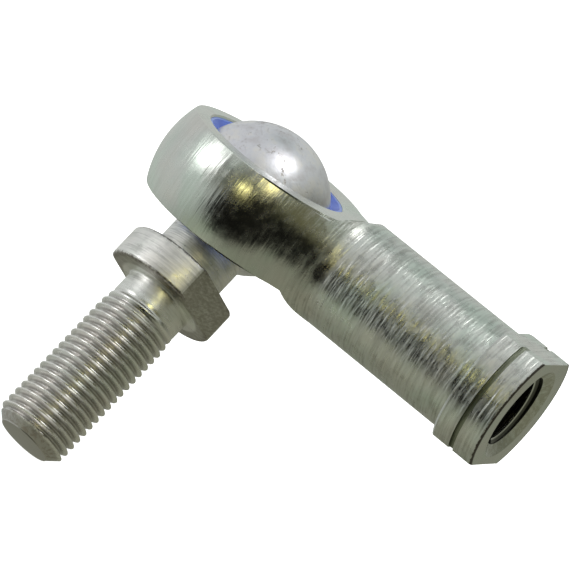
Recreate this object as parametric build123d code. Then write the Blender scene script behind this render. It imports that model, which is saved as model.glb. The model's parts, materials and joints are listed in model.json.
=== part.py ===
from build123d import *
import math
import os

# Female rod end with ball stud, 3/8-24 UNF size.
# Frame: origin at the ball's centre, +Z along the head's bore, +X along the shank.
# The stud leaves the ball downwards and is stored tilted towards -Y. All sizes in millimetres.

# ---- threads (3/8-24 UNF, both ends) ----
thread_major_r = 4.7625
thread_blank_r = 4.42        # plain stretch that the rolled stud thread starts from
thread_clearance = 0.04      # the hole's wall stands this far outside a mating stud's crests

# ---- ball and race ----
ball_r = 9.13
ball_clearance = 0.03        # ball to race
race_clearance = 0.02        # race to body
race_wall = 1.47             # ball to the wall of the moulding pocket in the bore
race_pocket_lip = 1.055      # depth of the lip between the pocket and the head's face
race_recess = 0.25           # the race's rim below the head's face
race_rim_width = 0.3         # flat rim of the race
tilt_limit = 30.0            # how far the stud leans from the bore's axis, degrees
neck_gap = 0.295             # left between the stud's neck and the race's mouth at that lean

# ---- head ----
head_width = 10.31           # over the two machined faces
head_wall = 2.6              # pocket to the outside of the turned head
head_centre_x = 0.7          # the turning centre, a little towards the shank
head_bore_gap = 0.22         # ball to the mouth of the bore, which keeps the race in
head_rim_round = 0.2         # rounding of the head's edge at the machined faces
head_bore_chamfer = 0.2
face_land_over = 0.2         # the machined face's round land is this much larger than the head's edge
neck_relief = 0.18           # the neck's flats lie this far inside the land
neck_angle = 32.0            # slope of the cone from head to shank, degrees
neck_blend_r = 3.0           # fillet between the cone and the shank

# ---- shank ----
shank_r = 7.1
shank_length = 41.275        # ball centre to the end face
shoulder_x = 11.5            # where the neck's flats end
shoulder_r = 6.2             # rounding of the shoulder above the flats
shoulder_over = 0.15         # the rounding's cutter runs out this far above the shank
collar_r = 8.8
collar_length = 5.95
collar_edge_r = 0.35
across_flats = 14.29
groove_from_end = 2.7        # end face to the groove's near wall
groove_width = 0.65
groove_depth = 0.5
end_chamfer = 0.2
hole_depth = 23.8            # threaded depth from the end face
hole_mouth_r = 6.1           # countersink at the end face
hole_mouth_angle = 120.0
drill_tip_angle = 118.0

# ---- stud ----
spigot_r = 3.0               # the stud's spigot inside the ball
spigot_clearance = 0.02
spigot_depth = 3.0           # how far the spigot runs past the ball's centre
ball_shoulder = 4.34         # the ball's radius beyond the neck's
neck_fillet = 0.4
stud_collar_r = 7.5
stud_collar_start = 12.1     # ball centre to the collar's ball side
stud_collar_width = 4.33
stud_collar_round = 0.55
stud_across_flats = 11.9
relief_length = 2.2          # plain stretch between the collar and the thread
relief_fillet = 0.3
stud_length = 39.7           # ball centre to the stud's end
stud_chamfer = 1.35
stud_chamfer_length = 1.35
thread_lead_in = 0.34        # short cone from the plain stretch up to the crests

# ---- stored pose ----
stud_tilt = 28.0             # between the stud and -Z, degrees
stud_azimuth = -88.0         # direction that it leans in, from +X, degrees
stud_turn = 114.0            # turn of the stud's wrench flats about its own axis, degrees

half_width = head_width / 2
head_bore_r = ball_r + head_bore_gap
race_pocket_r = ball_r + race_wall
race_pocket_half = half_width - race_pocket_lip
head_r = race_pocket_r + head_wall
face_edge_r = math.sqrt(head_r**2 - half_width**2)
face_land_r = face_edge_r + face_land_over
neck_r = ball_r - ball_shoulder
big = 60.0                   # larger than the part, for cutters


def turned_body():
    """The turned blank: head, cone, shank and collar about the X axis."""
    angle = math.radians(neck_angle)
    cone_x = head_centre_x + head_r * math.sin(angle)
    cone_y = head_r * math.cos(angle)
    shank_x = cone_x + (cone_y - shank_r) / math.tan(angle)
    collar_x = shank_length - collar_length
    groove_x2 = shank_length - groove_from_end
    groove_x1 = groove_x2 - groove_width
    groove_r = collar_r - groove_depth

    head_arc = ThreePointArc(
        (head_centre_x - head_r, 0), (head_centre_x, head_r), (cone_x, cone_y))
    blend = FilletPolyline(
        (cone_x, cone_y), (shank_x, shank_r), (collar_x, shank_r), radius=neck_blend_r)
    collar_side = Polyline(
        (collar_x, shank_r),
        (collar_x, collar_r - collar_edge_r),
        (collar_x + collar_edge_r, collar_r),
        (groove_x1, collar_r),
        (groove_x1, groove_r),
        (groove_x2, groove_r),
        (groove_x2, collar_r),
        (shank_length - end_chamfer, collar_r),
        (shank_length, collar_r - end_chamfer),
        (shank_length, 0),
        (head_centre_x - head_r, 0))
    profile = make_face(head_arc + blend + collar_side)
    return revolve(profile, Axis.X, 360)


def face_cutter(height, side, edge_r=None):
    """What the mill takes off above the neck's flats, on the +Z (1) or -Z (-1) side."""
    centre_z = shank_r + shoulder_over - shoulder_r + (height - half_width)
    run = math.sqrt(shoulder_r**2 - (height - centre_z)**2)
    top = shank_r + shoulder_over + (height - half_width)
    start = math.atan2(height - centre_z, -run)
    middle = (start + math.pi / 2) / 2
    arc_x = shoulder_x + run + shoulder_r * math.cos(middle)
    arc_z = centre_z + shoulder_r * math.sin(middle)
    outline = Polyline((-big, big), (-big, height), (shoulder_x, height))
    outline += ThreePointArc((shoulder_x, height), (arc_x, arc_z), (shoulder_x + run, top))
    outline += Polyline((shoulder_x + run, top), (shoulder_x + run, big), (-big, big))
    cutter = extrude(Plane.XZ * make_face(outline), amount=big, both=True)
    if edge_r:
        cutter -= Cylinder(edge_r, 2 * big)
    return cutter if side > 0 else mirror(cutter, Plane.XY)


def threaded_hole():
    """Countersunk blind hole; its plain wall stands in for the thread."""
    wall_r = thread_major_r + thread_clearance
    sink = (hole_mouth_r - wall_r) / math.tan(math.radians(hole_mouth_angle / 2))
    tip = wall_r / math.tan(math.radians(drill_tip_angle / 2))
    outline = Polyline(
        (shank_length + 1, 0),
        (shank_length + 1, hole_mouth_r),
        (shank_length, hole_mouth_r),
        (shank_length - sink, wall_r),
        (shank_length - hole_depth, wall_r),
        (shank_length - hole_depth - tip, 0),
        (shank_length + 1, 0))
    return revolve(make_face(outline), Axis.X, 360)


def head_bore():
    """Through bore with a wider pocket that locks the race in."""
    outline = Polyline(
        (0, half_width + 1),
        (head_bore_r + head_bore_chamfer, half_width + 1),
        (head_bore_r + head_bore_chamfer, half_width),
        (head_bore_r, half_width - head_bore_chamfer),
        (head_bore_r, race_pocket_half),
        (race_pocket_r, race_pocket_half),
        (race_pocket_r, -race_pocket_half),
        (head_bore_r, -race_pocket_half),
        (head_bore_r, -half_width + head_bore_chamfer),
        (head_bore_r + head_bore_chamfer, -half_width),
        (head_bore_r + head_bore_chamfer, -half_width - 1),
        (0, -half_width - 1),
        (0, half_width + 1))
    return revolve(Plane.XZ * make_face(outline), Axis.Z, 360)


def wrench_flats():
    """The two flats on the collar, parallel to the head's faces."""
    length = collar_length + 1
    centre_x = shank_length - collar_length + length / 2
    block = Box(length, 4 * collar_r, big)
    block -= Box(length, 4 * collar_r, across_flats)
    return Pos(centre_x, 0, 0) * block


def make_rod_end_body():
    body = turned_body()
    for side in (1, -1):
        body -= face_cutter(half_width, side)
        body -= face_cutter(half_width - neck_relief, side, face_land_r)
    rims = [edge for edge in body.edges().filter_by(GeomType.CIRCLE)
            if abs(abs(edge.arc_center.Z) - half_width) < 0.001
            and abs(edge.radius - face_edge_r) < 0.001]
    body = fillet(rims, head_rim_round)
    body -= wrench_flats()
    body -= head_bore()
    body -= threaded_hole()
    return body


def make_race():
    """One moulded ring: a band in the pocket and a flared lip in each mouth of the bore."""
    band_r = race_pocket_r - race_clearance
    band_half = race_pocket_half - race_clearance
    lip_r = head_bore_r - race_clearance
    rim_z = half_width - race_recess
    rim_r = lip_r - race_rim_width
    inner_r = ball_r + ball_clearance
    mouth_angle = math.radians(tilt_limit) + math.asin((neck_r + neck_gap) / inner_r)
    mouth_r = inner_r * math.sin(mouth_angle)
    mouth_z = inner_r * math.cos(mouth_angle)
    outline = Polyline(
        (mouth_r, mouth_z),
        (rim_r, rim_z),
        (lip_r, rim_z),
        (lip_r, band_half),
        (band_r, band_half),
        (band_r, -band_half),
        (lip_r, -band_half),
        (lip_r, -rim_z),
        (rim_r, -rim_z),
        (mouth_r, -mouth_z))
    outline += ThreePointArc((mouth_r, -mouth_z), (inner_r, 0), (mouth_r, mouth_z))
    return revolve(Plane.XZ * make_face(outline), Axis.Z, 360)


def stud_pose():
    """Stands a piece made along +Z, ball centre at the origin, in the stud's stored pose."""
    lean = Rot(0, 0, stud_azimuth) * Rot(0, 180 - stud_tilt, 0)
    return lean * Rot(0, 0, stud_turn)


def ball_flat():
    """Distance from the ball's centre to the small flat that the stud's neck seats on."""
    return math.sqrt(ball_r**2 - neck_r**2)


def make_ball():
    ball = Sphere(ball_r)
    flat = ball_flat()
    ball -= Pos(0, 0, flat + ball_r) * Cylinder(ball_r, 2 * ball_r)
    socket_r = spigot_r + spigot_clearance
    bottom = -spigot_depth - spigot_clearance
    depth = flat + 1 - bottom
    ball -= Pos(0, 0, bottom + depth / 2) * Cylinder(socket_r, depth)
    return stud_pose() * ball


def make_stud():
    neck_start = ball_flat() + spigot_clearance
    collar_end = stud_collar_start + stud_collar_width
    relief_end = collar_end + relief_length
    bevel = stud_collar_round
    outline = Polyline(
        (0, -spigot_depth),
        (spigot_r, -spigot_depth),
        (spigot_r, neck_start),
        (neck_r, neck_start),
        (neck_r, stud_collar_start - neck_fillet),
        (neck_r + neck_fillet, stud_collar_start),
        (stud_collar_r - bevel, stud_collar_start),
        (stud_collar_r, stud_collar_start + bevel),
        (stud_collar_r, collar_end - bevel / 3),
        (stud_collar_r - bevel / 3, collar_end),
        (thread_blank_r + relief_fillet, collar_end),
        (thread_blank_r, collar_end + relief_fillet),
        (thread_blank_r, relief_end),
        (thread_major_r, relief_end + thread_lead_in),
        (thread_major_r, stud_length - stud_chamfer_length),
        (thread_major_r - stud_chamfer, stud_length),
        (0, stud_length),
        (0, -spigot_depth))
    stud = revolve(Plane.XZ * make_face(outline), Axis.Z, 360)
    collar_middle = stud_collar_start + stud_collar_width / 2
    flats = Box(2 * big, 2 * big, stud_collar_width)
    flats -= Box(stud_across_flats, 2 * big, stud_collar_width)
    stud -= Pos(0, 0, collar_middle) * flats
    return stud_pose() * stud


def main():
    os.makedirs("parts", exist_ok=True)
    nodes = {
        "rod_end_body": make_rod_end_body(),
        "race": make_race(),
        "ball": make_ball(),
        "stud": make_stud(),
    }
    for name, shape in nodes.items():
        export_step(shape, f"parts/{name}.step")


main()
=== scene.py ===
import json
import math

import bmesh
import bpy
from mathutils import Matrix, Vector


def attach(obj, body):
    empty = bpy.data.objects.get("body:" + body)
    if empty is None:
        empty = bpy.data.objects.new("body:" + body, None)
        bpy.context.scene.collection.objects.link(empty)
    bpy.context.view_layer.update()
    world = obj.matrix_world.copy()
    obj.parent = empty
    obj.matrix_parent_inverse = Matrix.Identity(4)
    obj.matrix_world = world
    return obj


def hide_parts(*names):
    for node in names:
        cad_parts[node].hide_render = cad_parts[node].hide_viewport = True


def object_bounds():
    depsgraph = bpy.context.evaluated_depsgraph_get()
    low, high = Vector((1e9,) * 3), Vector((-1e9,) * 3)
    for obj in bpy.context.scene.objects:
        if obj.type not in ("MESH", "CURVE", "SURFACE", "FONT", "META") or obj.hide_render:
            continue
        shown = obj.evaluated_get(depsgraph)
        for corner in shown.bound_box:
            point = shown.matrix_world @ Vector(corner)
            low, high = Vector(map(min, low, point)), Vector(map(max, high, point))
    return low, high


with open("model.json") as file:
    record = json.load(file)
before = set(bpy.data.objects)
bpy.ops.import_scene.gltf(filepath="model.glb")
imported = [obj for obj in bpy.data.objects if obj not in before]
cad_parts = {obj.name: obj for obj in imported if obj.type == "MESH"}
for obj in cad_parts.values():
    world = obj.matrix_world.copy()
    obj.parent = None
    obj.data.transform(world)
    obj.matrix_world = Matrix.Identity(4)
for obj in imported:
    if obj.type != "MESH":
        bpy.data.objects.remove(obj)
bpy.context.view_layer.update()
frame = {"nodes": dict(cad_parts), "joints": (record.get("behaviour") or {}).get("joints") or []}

MM = 0.001
joints = {joint["name"]: joint for joint in frame["joints"]}

# ---- sizes of the real pieces, as in the CAD model, in millimetres ----
PITCH = 25.4 / 24            # both threads
MAJOR_R = 4.7625
BLANK_R = 4.42               # plain stretch before the rolled thread
THREAD_DEPTH = 0.6134 * PITCH

SHANK_END = 41.275           # along +X from the ball's centre
COLLAR_R = 8.8
GROOVE_START = SHANK_END - 3.38
GROOVE_END = SHANK_END - 2.67
HOLE_R = 4.8025
HOLE_DEPTH = 23.8
MOUTH_R = 6.1                # countersink
RIDGE_START = SHANK_END - 1.25
RIDGE_TURNS = 20.0
RIDGE_MIDDLE_R = 4.56
RIDGE_HEIGHT = 0.58
RIDGE_FOOT = 0.93
RIDGE_TIP = 0.2

SPIGOT_R = 3.0
SPIGOT_START = -3.0          # heights along the stud from the ball's centre
NECK_START = 7.79
NECK_R = 4.79
NECK_FILLET = 0.4
COLLAR_START = 12.1
COLLAR_END = 16.43
STUD_COLLAR_R = 7.5
COLLAR_BACK_ROUND = 0.45
COLLAR_FRONT_ROUND = 0.4
RELIEF_FILLET = 0.3
THREAD_START = 18.63
STUD_END = 39.7
CHAMFER = 1.35
TIP_ROUND = 0.1
STUD_FLATS = 11.9
STUD_TURN = 114.0            # where the flats face, degrees about the stud

THREAD_SAMPLES = 14          # rings per pitch
AROUND = 192                 # so that the corners of the collar's flats fall on points
FLATS_MARGIN = 0.01          # the flats reach this far past the collar's faces
MERGE = 0.0005 * MM
STUD_AXIS = Vector(joints["spin"]["axis"]).normalized()
STUD_SIDE = Vector(joints["tilt"]["axis"]).normalized()


# ---------------------------------------------------------------- node building

class Graph:
    """Adds nodes to one shader or geometry tree."""

    def __init__(self, tree):
        self.tree = tree
        self.tree.nodes.clear()

    def node(self, kind, settings=None, inputs=None, output=0):
        """Adds a node: settings first, then each input as a number, a colour or a Value."""
        node = self.tree.nodes.new(kind)
        for name, setting in (settings or {}).items():
            if name == "stops":
                ramp = node.color_ramp
                while len(ramp.elements) < len(setting):
                    ramp.elements.new(0.5)
                for element, (place, colour) in zip(ramp.elements, setting):
                    element.position = place
                    element.color = (*colour, 1.0)
            else:
                setattr(node, name, setting)
        for name, given in (inputs or {}).items():
            socket = node.inputs[name]
            if isinstance(given, Value):
                self.tree.links.new(given.socket, socket)
            else:
                socket.default_value = given
        return Value(self, node.outputs[output]) if len(node.outputs) else None

    def ramp(self, factor, stops):
        """Colours at the stops, blended evenly between them."""
        return self.node("ShaderNodeValToRGB", {"stops": stops}, {"Fac": factor})

    def smooth(self, value, low, high, start=0.0, end=1.0):
        """Smoothstep of value from low..high to start..end."""
        return self.node("ShaderNodeMapRange", {"interpolation_type": "SMOOTHSTEP"}, {
            "Value": value, "From Min": low, "From Max": high, "To Min": start, "To Max": end})

    def mix(self, factor, a, b):
        """Colour a where factor is 0, b where it is 1."""
        node = self.tree.nodes.new("ShaderNodeMix")
        node.data_type = "RGBA"
        for socket, given in ((node.inputs[0], factor), (node.inputs[6], a), (node.inputs[7], b)):
            if isinstance(given, Value):
                self.tree.links.new(given.socket, socket)
            elif isinstance(given, tuple):
                socket.default_value = (*given, 1.0)
            else:
                socket.default_value = given
        return Value(self, node.outputs[2])

    def noise(self, vector, scale, detail, roughness):
        return self.node("ShaderNodeTexNoise", None, {
            "Vector": vector, "Scale": scale, "Detail": detail, "Roughness": roughness})

    def vector(self, x, y, z):
        return self.node("ShaderNodeCombineXYZ", None, {"X": x, "Y": y, "Z": z})

    def parts(self, vector):
        first = self.node("ShaderNodeSeparateXYZ", None, {"Vector": vector})
        return [Value(self, first.socket.node.outputs[k]) for k in range(3)]

    def dot(self, vector, fixed):
        """How far vector reaches along a fixed direction."""
        return self.node("ShaderNodeVectorMath", {"operation": "DOT_PRODUCT"},
                         {0: vector, 1: fixed}, output="Value")


class Value:
    """A node's output; arithmetic on it adds Math nodes."""

    def __init__(self, graph, socket):
        self.graph = graph
        self.socket = socket

    def math(self, operation, other=None, swap=False):
        a, b = (other, self) if swap else (self, other)
        inputs = {0: a} if other is None else {0: a, 1: b}
        return self.graph.node("ShaderNodeMath", {"operation": operation}, inputs)

    def __add__(self, other):
        return self.math("ADD", other)

    __radd__ = __add__

    def __mul__(self, other):
        return self.math("MULTIPLY", other)

    __rmul__ = __mul__

    def __sub__(self, other):
        return self.math("SUBTRACT", other)

    def __rsub__(self, other):
        return self.math("SUBTRACT", other, swap=True)

    def __truediv__(self, other):
        return self.math("DIVIDE", other)

    def __rtruediv__(self, other):
        return self.math("DIVIDE", other, swap=True)

    def __pow__(self, other):
        return self.math("POWER", other)


# ---------------------------------------------------------------- node trees for geometry

def new_tree(name, inputs):
    """A geometry tree with the named inputs; gives its graph and its inputs."""
    tree = bpy.data.node_groups.new(name, "GeometryNodeTree")
    graph = Graph(tree)
    tree.interface.new_socket("Geometry", in_out="INPUT", socket_type="NodeSocketGeometry")
    for socket_name, kind in inputs.items():
        tree.interface.new_socket(socket_name, in_out="INPUT", socket_type=kind)
    tree.interface.new_socket("Geometry", in_out="OUTPUT", socket_type="NodeSocketGeometry")
    source = tree.nodes.new("NodeGroupInput")
    return graph, {item.name: Value(graph, item) for item in source.outputs if item.name}


def close_tree(graph, shape, material):
    """Ends the tree: real geometry with the material on it."""
    real = graph.node("GeometryNodeRealizeInstances", None, {"Geometry": shape})
    shaded = graph.node("GeometryNodeSetMaterial", None, {"Geometry": real, "Material": material})
    graph.node("NodeGroupOutput", None, {"Geometry": shaded})


def grow(name, tree, values, base, turn, sharp_angle):
    """Runs the tree on the base mesh and gives a plain object at the origin."""
    carrier = bpy.data.objects.new(name, base)
    bpy.context.scene.collection.objects.link(carrier)
    modifier = carrier.modifiers.new("shape", "NODES")
    modifier.node_group = tree
    for item in tree.interface.items_tree:
        if item.in_out == "INPUT" and item.name in values:
            modifier[item.identifier] = values[item.name]
    seen = bpy.context.evaluated_depsgraph_get()
    mesh = bpy.data.meshes.new_from_object(carrier.evaluated_get(seen))
    bpy.data.objects.remove(carrier)
    mesh.transform(turn)
    return finish_piece(name, mesh, sharp_angle)


def finish_piece(name, mesh, sharp_angle):
    """Merges doubles, faces outward, smooths and links the piece."""
    shape = bmesh.new()
    shape.from_mesh(mesh)
    bmesh.ops.remove_doubles(shape, verts=shape.verts, dist=MERGE)
    bmesh.ops.recalc_face_normals(shape, faces=shape.faces)
    shape.to_mesh(mesh)
    shape.free()
    mesh.shade_smooth()
    mesh.set_sharp_from_angle(angle=math.radians(sharp_angle))
    mesh.name = name
    piece = bpy.data.objects.new(name, mesh)
    bpy.context.scene.collection.objects.link(piece)
    return piece


def lathe_tree(material):
    """Turns a row of points (x radius, z height) about Z and rolls a thread and flats into it."""
    graph, given = new_tree("turned_stud", {
        "Around": "NodeSocketInt", "Pitch": "NodeSocketFloat", "Major Radius": "NodeSocketFloat",
        "Blank Radius": "NodeSocketFloat", "Thread Depth": "NodeSocketFloat",
        "Thread Start": "NodeSocketFloat", "Half Flats": "NodeSocketFloat",
        "Flats Start": "NodeSocketFloat", "Flats End": "NodeSocketFloat"})
    count = graph.node("GeometryNodeAttributeDomainSize", None, {"Geometry": given["Geometry"]})
    grid = graph.node("GeometryNodeMeshGrid", None, {
        "Size X": 1.0, "Size Y": 1.0, "Vertices X": given["Around"] + 1.0, "Vertices Y": count})
    place = graph.node("GeometryNodeInputPosition")
    across, up, _ = graph.parts(place)
    ring = (up + 0.5) * (count - 1.0) + 0.01
    angle = (across + 0.5) * math.tau
    outline = graph.node("GeometryNodeSampleIndex", {"data_type": "FLOAT_VECTOR"}, {
        "Geometry": given["Geometry"], "Value": place, "Index": ring.math("FLOOR")})
    radius, _, height = graph.parts(outline)

    phase = (height / given["Pitch"] - angle / math.tau).math("FRACT")
    crest, slope, straight = 0.10, 0.78, 0.45      # flat crest, then flank, as parts of half a pitch
    flank = (((phase - 0.5).math("ABSOLUTE") * 2.0 - crest) / slope)
    flank = flank.math("MAXIMUM", 0.0).math("MINIMUM", 1.0)
    rounded = 0.5 - (flank * math.pi).math("COSINE") * 0.5
    depth = flank * straight + rounded * (1 - straight)
    cut_in = graph.smooth(height, given["Thread Start"], given["Thread Start"] + given["Pitch"] * 3.0)
    rolled = given["Major Radius"] - given["Thread Depth"] * depth
    thread = given["Blank Radius"] + (rolled - given["Blank Radius"]) * cut_in
    threaded = height.math("GREATER_THAN", given["Thread Start"])
    radius = radius * (1.0 - threaded) + radius.math("MINIMUM", thread) * threaded

    flat = given["Half Flats"] / (angle.math("COSINE").math("ABSOLUTE") + 0.001)
    milled = (height.math("GREATER_THAN", given["Flats Start"])
              * height.math("LESS_THAN", given["Flats End"]))
    radius = radius * (1.0 - milled) + radius.math("MINIMUM", flat) * milled
    turned = graph.node("GeometryNodeSetPosition", None, {
        "Geometry": grid, "Position": graph.vector(
            radius * angle.math("COSINE"), radius * angle.math("SINE"), height)})
    closed = graph.node("GeometryNodeMergeByDistance", None, {
        "Geometry": turned, "Distance": MERGE})
    close_tree(graph, closed, material)
    return graph.tree


def corner(centre_r, centre_z, radius, start, end, steps):
    """Points of a rounded corner in a profile, angles in degrees from +radius towards +height."""
    return [(centre_r + radius * math.cos(math.radians(start + (end - start) * k / steps)),
             centre_z + radius * math.sin(math.radians(start + (end - start) * k / steps)))
            for k in range(steps + 1)]


def stud_profile():
    """The stud's outline in millimetres as (radius, height), one ring each, ball end first."""
    spigot_edge = 0.2
    outline = [(0, SPIGOT_START), (SPIGOT_R - spigot_edge, SPIGOT_START),
               (SPIGOT_R, SPIGOT_START + spigot_edge), (SPIGOT_R, NECK_START), (NECK_R, NECK_START)]
    outline += corner(NECK_R + NECK_FILLET, COLLAR_START - NECK_FILLET, NECK_FILLET, 180, 90, 6)
    outline += corner(STUD_COLLAR_R - COLLAR_BACK_ROUND, COLLAR_START + COLLAR_BACK_ROUND,
                      COLLAR_BACK_ROUND, -90, 0, 7)
    outline += corner(STUD_COLLAR_R - COLLAR_FRONT_ROUND, COLLAR_END - COLLAR_FRONT_ROUND,
                      COLLAR_FRONT_ROUND, 0, 90, 6)
    outline += corner(BLANK_R + RELIEF_FILLET, COLLAR_END + RELIEF_FILLET, RELIEF_FILLET, 270, 180, 6)

    step = PITCH / THREAD_SAMPLES
    rings = int((STUD_END - CHAMFER - THREAD_START) / step)
    outline += [(BLANK_R, THREAD_START)]
    outline += [(MAJOR_R, THREAD_START + 0.001 + k * step) for k in range(rings + 1)]
    chamfer_rings, chamfer_length = 16, CHAMFER - TIP_ROUND
    outline += [(MAJOR_R - CHAMFER * k / chamfer_rings,
                 STUD_END - CHAMFER + chamfer_length * k / chamfer_rings)
                for k in range(chamfer_rings + 1)]
    outline += corner(MAJOR_R - CHAMFER - TIP_ROUND, STUD_END - TIP_ROUND, TIP_ROUND, 20, 90, 3)
    return outline + [(0, STUD_END)]


# ---------------------------------------------------------------- materials

def new_material(name):
    """An empty material and the graph of its nodes."""
    material = bpy.data.materials.new(name)
    material.use_nodes = True
    return material, Graph(material.node_tree)


def close_material(graph, colour, roughness, metallic=1.0, normal=None, **fixed):
    """The shader and the output; fixed holds numbers for the shader's own sockets."""
    inputs = {"Base Color": colour, "Roughness": roughness, "Metallic": metallic}
    if normal:
        inputs["Normal"] = normal
    inputs.update({name.replace("_", " "): value for name, value in fixed.items()})
    shader = graph.node("ShaderNodeBsdfPrincipled", None, inputs)
    graph.node("ShaderNodeOutputMaterial", None, {"Surface": shader})


def place_in_mm(graph):
    """The place on the object in millimetres."""
    place = graph.node("ShaderNodeTexCoord", None, None, output="Object")
    return graph.node("ShaderNodeMapping", {"vector_type": "POINT"}, {
        "Vector": place, "Scale": (1 / MM, 1 / MM, 1 / MM)})


GRAIN_HEIGHT = 0.0018         # millimetres


def turned_zinc(name, axis, across, tint, hue, roughness, relief, marks):
    """Turned steel with bright zinc plating; axis and across are unit vectors.

    relief gives the heights in millimetres of arcs, waves, smears and dents. marks gets the
    graph, the distances along and out from the axis, and the place in millimetres. It gives
    the stained patches and painted shade to lay over the zinc as (how much, colour, roughness),
    a height in millimetres to add, and how coarsely the surface is worked from place to place.
    """
    material, graph = new_material(name)
    place = place_in_mm(graph)
    third = Vector(axis).cross(Vector(across))
    along = graph.dot(place, tuple(axis))
    y = graph.dot(place, tuple(across))
    z = graph.dot(place, tuple(third))
    radius = (y * y + z * z + 0.01) ** 0.5
    cy, cz = y / radius, z / radius
    arcs = graph.noise(graph.vector(along * 3.7, cy * 1.6, cz * 1.6), 1.0, 1.5, 0.5)
    waves = graph.noise(graph.vector(along * 1.5, cy * 1.9, cz * 1.9), 1.0, 3.0, 0.55)
    cloud = graph.noise(place, 0.17, 3.0, 0.55)
    smear = graph.noise(place, 0.75, 3.0, 0.65)
    grain = graph.noise(place, 3.2, 2.0, 0.6)
    dent = graph.smooth(graph.noise(place, 0.42, 1.0, 0.4), 0.25, 0.20)
    red, green, blue = tint
    film = graph.ramp(cloud, [
        (0.34, (red * (1 - hue), green * (1 + hue / 3), blue * 0.98)),
        (0.50, tint),
        (0.66, (red * (1 + hue / 2), green * (1 - hue / 3), blue * 0.98))])
    rough = graph.smooth(smear, 0.30, 0.72, roughness * 0.72, roughness * 1.35)
    stains_and_shade, extra, worked = marks(graph, along, radius, place)
    rough = rough * (1.0 + worked * 0.8)
    worked = worked * graph.smooth(waves, 0.35, 0.65, 0.6, 1.3)
    shade = graph.smooth(arcs + smear * 0.6, 0.92, 0.62)
    colour = graph.mix(shade * worked * 0.42, film, (0.30, 0.30, 0.27))
    # The entries are real stained patches, wear and burrs, and painted shade in the groove, down the
    # hole and in the thread roots.
    for amount, stain_and_shade_colour, stain_and_shade_roughness in stains_and_shade:
        colour = graph.mix(amount, colour, stain_and_shade_colour)
        rough = rough * (1.0 - amount) + amount * stain_and_shade_roughness
    arc_height, wave_height, smear_height, dent_depth = relief
    height = ((arcs * arc_height + smear * smear_height) * worked + waves * wave_height
              - dent * dent_depth + grain * GRAIN_HEIGHT + extra)
    bump = graph.node("ShaderNodeBump", None, {
        "Strength": 1.0, "Distance": MM, "Height": height})
    close_material(graph, colour, rough, 1.0, bump)
    return material


def body_marks(graph, along, radius, place):
    """Painted shade: olive-dark in the groove and dark down the hole, leaving crests near the mouth
    bright; dull countersink and the burr on the end face.
    """
    ragged = graph.noise(place, 1.6, 4.0, 0.75)
    outer = radius.math("GREATER_THAN", COLLAR_R - 0.9)
    # Painted shade: the groove is coloured dark olive for the shade inside it.
    groove_painted_shade = (along.math("GREATER_THAN", GROOVE_START) * along.math("LESS_THAN", GROOVE_END)
                 * outer * radius.math("LESS_THAN", COLLAR_R - 0.08))
    edge = graph.smooth(along + ragged * 0.5, SHANK_END + 0.02, SHANK_END + 0.10)
    burr = edge * graph.smooth(radius - ragged * 0.25, 8.25, 8.35)
    # Painted shade: the hole's wall is darkened, more so deeper in, leaving the crests near the mouth
    # bright.
    inside = (along.math("GREATER_THAN", SHANK_END - HOLE_DEPTH - 3)
              * radius.math("LESS_THAN", HOLE_R + 0.03))
    deeper = (SHANK_END - 2.0 - along).math("MAXIMUM", 0.0)
    bore_painted_shade = inside * graph.smooth(radius + deeper * 0.12, 4.34, 4.50)
    mouth = (radius.math("GREATER_THAN", HOLE_R + 0.03)
             * graph.smooth(radius, MOUTH_R + 0.04, MOUTH_R - 0.04)
             * along.math("GREATER_THAN", SHANK_END - 1.5))
    on_end = (along - SHANK_END + 0.05).math("GREATER_THAN", 0.0)
    worked = (graph.smooth(along, 11.0, 13.5, 0.28, 1.0)
              * graph.smooth(radius + on_end * -9.0, 6.2, 6.9, 0.2, 1.0))
    return [(groove_painted_shade * 0.85, (0.20, 0.22, 0.15), 0.45),
            (bore_painted_shade * 0.92, (0.07, 0.07, 0.055), 0.3),
            (mouth * graph.smooth(ragged, 0.35, 0.6, 0.1, 0.8), (0.42, 0.42, 0.34), 0.30),
            (burr * 0.9, (0.05, 0.035, 0.03), 0.5)], ragged * 0.004, worked


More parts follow.
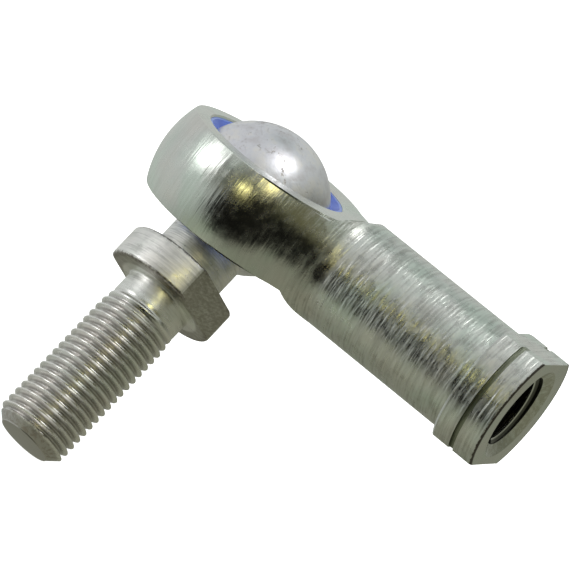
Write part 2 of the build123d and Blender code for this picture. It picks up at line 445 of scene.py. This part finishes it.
def stud_marks(graph, along, radius, place):
    """Fine rings on neck and collar, painted shade in the thread roots, mottled flats, worn edges and a
    stained tip.
    """
    rings = graph.noise(graph.vector(along * 4.5, 0.0, 0.0), 1.0, 2.0, 0.5)
    mottle = graph.noise(place, 2.2, 4.0, 0.7)
    slanted = graph.node("ShaderNodeMapping", {"vector_type": "POINT"}, {
        "Vector": place, "Rotation": (0.0, math.radians(35), 0.0), "Scale": (0.9, 1.6, 4.0)})
    milled = graph.noise(slanted, 1.0, 2.0, 0.6)
    on_collar = along.math("GREATER_THAN", 12.0) * along.math("LESS_THAN", 16.5)
    on_neck = along.math("LESS_THAN", 12.0)
    flat = on_collar * graph.smooth(radius, 7.44, 7.36) * graph.smooth(radius, 5.4, 5.9)
    back_edge = graph.smooth(along + mottle * 0.5, 12.75, 12.55)
    front_edge = graph.smooth(along - mottle * 0.5, 15.85, 16.0)
    edges = on_collar * graph.smooth(radius, 6.6, 7.0) * (back_edge + front_edge)
    tip = graph.smooth(along + mottle * 1.2, 39.0, 39.8) * graph.smooth(radius, 3.3, 3.6)
    end = along.math("GREATER_THAN", 39.65)
    turning_feed = 0.27
    turned = (along * (2 * math.pi / turning_feed) + rings * 5.0).math("SINE")
    height = (rings * (on_neck * 0.03 + on_collar * 0.012) + turned * on_neck * 0.005
              + flat * milled * 0.035 + tip * mottle * 0.05)
    # Painted shade: the thread roots are darkened.
    root_painted_shade = graph.smooth(radius, 4.46, 4.22) * graph.smooth(along, 18.6, 19.4)
    worn = edges.math("MINIMUM", 1.0) * graph.smooth(mottle, 0.62, 0.40)
    worked = graph.smooth(along, 17.0, 19.0, 0.8, 0.3)
    return [(end, (0.99, 0.98, 0.96), 0.75),
            (root_painted_shade * 0.65, (0.36, 0.34, 0.32), 0.3),
            (flat * graph.smooth(milled, 0.75, 0.35, 0.50, 0.88), (0.33, 0.31, 0.27), 0.36),
            (worn * 0.75, (0.20, 0.17, 0.16), 0.4),
            (tip * graph.smooth(mottle, 0.44, 0.62) * 0.55, (0.30, 0.24, 0.19), 0.4)], height, worked


def dull_ball_steel():
    """Dull plated steel: faint wiped streaks and clusters of small brown pits."""
    material, graph = new_material("dull_plated_ball_steel")
    place = place_in_mm(graph)
    across, back, up = graph.parts(place)
    wiped = graph.vector(across * 0.5 - up * 0.4, back * 0.5, up * 1.9 + across * 1.1)
    streak = graph.noise(wiped, 1.0, 5.0, 0.7)
    cloud = graph.noise(place, 0.30, 4.0, 0.65)
    grain = graph.noise(place, 3.0, 4.0, 0.7)
    cluster = graph.smooth(graph.noise(place, 0.2, 2.0, 0.5), 0.40, 0.58)
    pits = graph.noise(place, 1.15, 4.0, 0.75)
    pit = graph.smooth(pits - cluster * 0.10, 0.36, 0.24)
    scratch = graph.smooth(streak, 0.46, 0.30)
    colour = graph.ramp(cloud, [
        (0.36, (0.66, 0.64, 0.66)), (0.50, (0.77, 0.77, 0.81)), (0.62, (0.83, 0.81, 0.80))])
    colour = graph.mix(scratch * 0.35, colour, (0.42, 0.40, 0.41))
    colour = graph.mix(pit * 0.8, colour, (0.26, 0.22, 0.19))
    rough = graph.smooth(grain, 0.3, 0.8, 0.28, 0.42) + pit * 0.15
    height = grain * 0.004 + streak * 0.020 + cloud * 0.05 - pit * 0.012
    bump = graph.node("ShaderNodeBump", None, {"Strength": 1.0, "Distance": MM, "Height": height})
    close_material(graph, colour, rough, 1.0, bump)
    return material


def blue_nylon():
    """Moulded blue nylon with a painted highlight: paler on the thin rim round the ball."""
    material, graph = new_material("moulded_blue_nylon")
    place = place_in_mm(graph)
    height = graph.parts(place)[2].math("ABSOLUTE")
    cloud = graph.noise(place, 0.5, 2.0, 0.5)
    grain = graph.noise(place, 6.0, 3.0, 0.6)
    colour = graph.ramp(cloud, [(0.3, (0.10, 0.17, 0.74)), (0.7, (0.15, 0.25, 0.86))])
    # Painted highlight: the thin rim round the ball is painted paler blue.
    colour = graph.mix(graph.smooth(height, 4.84, 4.90) * 0.6, colour, (0.32, 0.45, 0.92))
    bump = graph.node("ShaderNodeBump", None, {
        "Strength": 0.5, "Distance": 0.01 * MM, "Height": grain})
    close_material(graph, colour, graph.smooth(grain, 0.3, 0.7, 0.30, 0.40), 0.0, bump)
    return material


# ---------------------------------------------------------------- camera

CAMERA_AZIMUTH = 17.307       # from -Y towards +X, degrees
CAMERA_ELEVATION = 11.261
CAMERA_ROLL = 35.669
CAMERA_DISTANCE = 489.0 * MM
CAMERA_AIM = Vector((8.91, 1.55, -5.90)) * MM
SENSOR_WIDTH = 36.0
FOCAL_LENGTH = 264.26


def camera_axes():
    """Right, up and back of the camera as unit vectors."""
    azimuth, elevation, roll = map(math.radians, (CAMERA_AZIMUTH, CAMERA_ELEVATION, CAMERA_ROLL))
    back = Vector((math.sin(azimuth) * math.cos(elevation),
                   -math.cos(azimuth) * math.cos(elevation), math.sin(elevation)))
    level_right = Vector((math.cos(azimuth), math.sin(azimuth), 0))
    level_up = back.cross(level_right)
    right = level_right * math.cos(roll) + level_up * math.sin(roll)
    up = back.cross(right)
    return right, up, back


def make_camera():
    """Long lens, looking at the part from in front and a little above."""
    right, up, back = camera_axes()
    data = bpy.data.cameras.new("camera")
    data.sensor_width = SENSOR_WIDTH
    data.lens = FOCAL_LENGTH
    data.clip_start = 0.01
    data.clip_end = 20.0
    camera = bpy.data.objects.new("camera", data)
    turn = Matrix((right, up, back)).transposed().to_4x4()
    camera.matrix_world = Matrix.Translation(CAMERA_AIM + back * CAMERA_DISTANCE) @ turn
    bpy.context.scene.collection.objects.link(camera)
    bpy.context.scene.camera = camera


# ---------------------------------------------------------------- studio

def make_world():
    """Pale room, dark in front below the camera, with two warm lamps and two soft boxes above."""
    right, up, back = camera_axes()
    world = bpy.data.worlds.new("studio")
    world.use_nodes = True
    bpy.context.scene.world = world
    graph = Graph(world.node_tree)
    view = graph.node("ShaderNodeTexCoord", None, None, output="Generated")
    u = graph.dot(view, tuple(right))
    v = graph.dot(view, tuple(up))
    w = graph.dot(view, tuple(back))
    side = u.math("ARCTAN2", w) * (180 / math.pi)
    rise = v.math("ARCSINE") * (180 / math.pi)

    def patch(centre, reach, soft, lean=0.0):
        """1 inside an oval of side and rise angles, falling to 0 over the soft part of it."""
        away_side = (side - centre[0] - (rise - centre[1]) * lean) / reach[0]
        away_rise = (rise - centre[1]) / reach[1]
        away = (away_side * away_side + away_rise * away_rise) ** 0.5
        return graph.smooth(away, 1.0, 1.0 - soft)

    level = rise - (side * (math.pi / 180)).math("SINE") * 11.0 - 3.0
    colour = graph.ramp(graph.smooth(level, -50, 50), [
        (0.0, (0.27, 0.275, 0.21)), (0.2, (0.25, 0.255, 0.205)), (0.5, (0.46, 0.48, 0.45)),
        (0.7, (0.60, 0.63, 0.60)), (1.0, (0.66, 0.68, 0.68))])
    colour = graph.mix(patch((-72, -30), (50, 26), 0.8), colour, (0.42, 0.44, 0.35))
    colour = graph.mix(patch((125, 56), (48, 24), 0.9), colour, (0.40, 0.45, 0.43))
    colour = graph.mix(patch((-2, 50), (26, 14), 0.9), colour, (0.36, 0.38, 0.36))
    colour = graph.mix(patch((100, -8), (42, 18), 0.8), colour, (0.20, 0.21, 0.17))
    colour = graph.mix(patch((-20, 20), (46, 28), 0.7, -0.5), colour, (0.13, 0.14, 0.11))
    colour = graph.mix(patch((-9, -18), (57, 35), 0.30, -0.2), colour, (0.006, 0.006, 0.005))
    colour = graph.mix(patch((36, -4), (26, 16), 0.8, 0.5), colour, (0.15, 0.145, 0.075))
    gold = (4.4, 4.0, 1.7)
    for centre, reach in (((-13, 12), (8, 7)), ((15, 14), (14, 7))):
        colour = graph.mix(patch(centre, reach, 0.95), colour, gold)
    for centre, reach, strength in (((-63, 41), (25, 17), 4.0), ((66, 44), (25, 16), 5.0)):
        colour = graph.mix(patch(centre, reach, 0.85), colour, (strength, strength, strength))
    camera_ray = graph.node("ShaderNodeLightPath", None, None, output="Is Camera Ray")
    colour = graph.mix(camera_ray, colour, (1.0, 1.0, 1.0))
    light = graph.node("ShaderNodeBackground", None, {"Color": colour, "Strength": 1.0})
    graph.node("ShaderNodeOutputWorld", None, {"Surface": light})


def make_floor():
    """Pale plane just under the part, which the metal doesn't mirror."""
    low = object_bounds()[0]
    material, graph = new_material("pale_floor")
    close_material(graph, (0.95, 0.95, 0.95, 1.0), 0.9, 0.0, None,
                   Emission_Color=(1.0, 1.0, 1.0, 1.0), Emission_Strength=0.85)
    mesh = bpy.data.meshes.new("floor")
    half = 4.0
    z = low[2] - 0.5 * MM
    mesh.from_pydata([(-half, -half, z), (half, -half, z), (half, half, z), (-half, half, z)],
                     [], [(0, 1, 2, 3)])
    mesh.materials.append(material)
    floor = bpy.data.objects.new("floor", mesh)
    floor.visible_glossy = False
    bpy.context.scene.collection.objects.link(floor)


# ---------------------------------------------------------------- making

ZINC = (0.66, 0.68, 0.64)
STUD_ZINC = (0.84, 0.83, 0.80)


def dress(node, material):
    """Puts the material on a CAD node."""
    mesh = frame["nodes"][node].data
    mesh.materials.clear()
    mesh.materials.append(material)


def stud_stance():
    """From standing on +Z to the stud's stored pose."""
    azimuth = math.atan2(STUD_AXIS.y, STUD_AXIS.x)
    fall = math.acos(STUD_AXIS.z)
    return (Matrix.Rotation(azimuth, 4, "Z") @ Matrix.Rotation(fall, 4, "Y")
            @ Matrix.Rotation(math.radians(STUD_TURN), 4, "Z"))


def make_stud():
    """The stud with its rolled thread, in place of the plain CAD one."""
    material = turned_zinc("turned_zinc_stud", tuple(STUD_AXIS), tuple(STUD_SIDE), STUD_ZINC, 0.02, 0.23,
                           (0.010, 0.006, 0.016, 0.02), stud_marks)
    row = bpy.data.meshes.new("stud_profile")
    row.from_pydata([(radius * MM, 0, height * MM) for radius, height in stud_profile()], [], [])
    stud = grow("ball_stud", lathe_tree(material), {
        "Around": AROUND, "Pitch": PITCH * MM, "Major Radius": MAJOR_R * MM,
        "Blank Radius": BLANK_R * MM, "Thread Depth": THREAD_DEPTH * MM,
        "Thread Start": THREAD_START * MM, "Half Flats": STUD_FLATS / 2 * MM,
        "Flats Start": (COLLAR_START - FLATS_MARGIN) * MM,
        "Flats End": (COLLAR_END + FLATS_MARGIN) * MM}, row, stud_stance(), 40)
    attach(stud, "stud")
    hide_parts("stud")


def ridge_tree(material):
    """A trapezoid ridge swept along a right-hand spiral about Z."""
    graph, given = new_tree("hole_thread", {
        "Turns": "NodeSocketFloat", "Pitch": "NodeSocketFloat", "Middle Radius": "NodeSocketFloat",
        "Ridge Height": "NodeSocketFloat", "Foot Width": "NodeSocketFloat",
        "Tip Width": "NodeSocketFloat"})
    spiral = graph.node("GeometryNodeCurveSpiral", None, {
        "Resolution": 96, "Rotations": given["Turns"], "Start Radius": given["Middle Radius"],
        "End Radius": given["Middle Radius"], "Height": given["Turns"] * given["Pitch"]})
    upright = graph.node("GeometryNodeSetCurveNormal", {"mode": "Z_UP"}, {"Curve": spiral})
    section = graph.node("GeometryNodeCurvePrimitiveQuadrilateral", {"mode": "TRAPEZOID"}, {
        "Height": given["Ridge Height"], "Bottom Width": given["Foot Width"],
        "Top Width": given["Tip Width"], "Offset": 0.0})
    inward = graph.node("GeometryNodeTransform", None, {
        "Geometry": section, "Rotation": (0, 0, -math.pi / 2)})
    ridge = graph.node("GeometryNodeCurveToMesh", None, {
        "Curve": upright, "Profile Curve": inward, "Fill Caps": True})
    close_tree(graph, ridge, material)
    return graph.tree


def make_hole_thread(material):
    """The thread in the shank's hole, from the countersink inwards."""
    lay = (Matrix.Translation((RIDGE_START * MM, 0, 0)) @ Matrix.Rotation(math.radians(-90), 4, "Y")
           @ Matrix.Rotation(math.radians(180), 4, "Z"))
    ridge = grow("hole_thread", ridge_tree(material), {
        "Turns": RIDGE_TURNS, "Pitch": PITCH * MM, "Middle Radius": RIDGE_MIDDLE_R * MM,
        "Ridge Height": RIDGE_HEIGHT * MM, "Foot Width": RIDGE_FOOT * MM,
        "Tip Width": RIDGE_TIP * MM}, bpy.data.meshes.new("seed"), lay, 30)
    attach(ridge, "housing")


bpy.context.scene.view_settings.view_transform = "Standard"
make_camera()
make_world()
make_floor()
body_zinc = turned_zinc("turned_zinc_body", (1, 0, 0), (0, 1, 0), ZINC, 0.05, 0.18,
                        (0.036, 0.022, 0.030, 0.02), body_marks)
dress("rod_end_body", body_zinc)
make_stud()
make_hole_thread(body_zinc)
dress("ball", dull_ball_steel())
dress("race", blue_nylon())
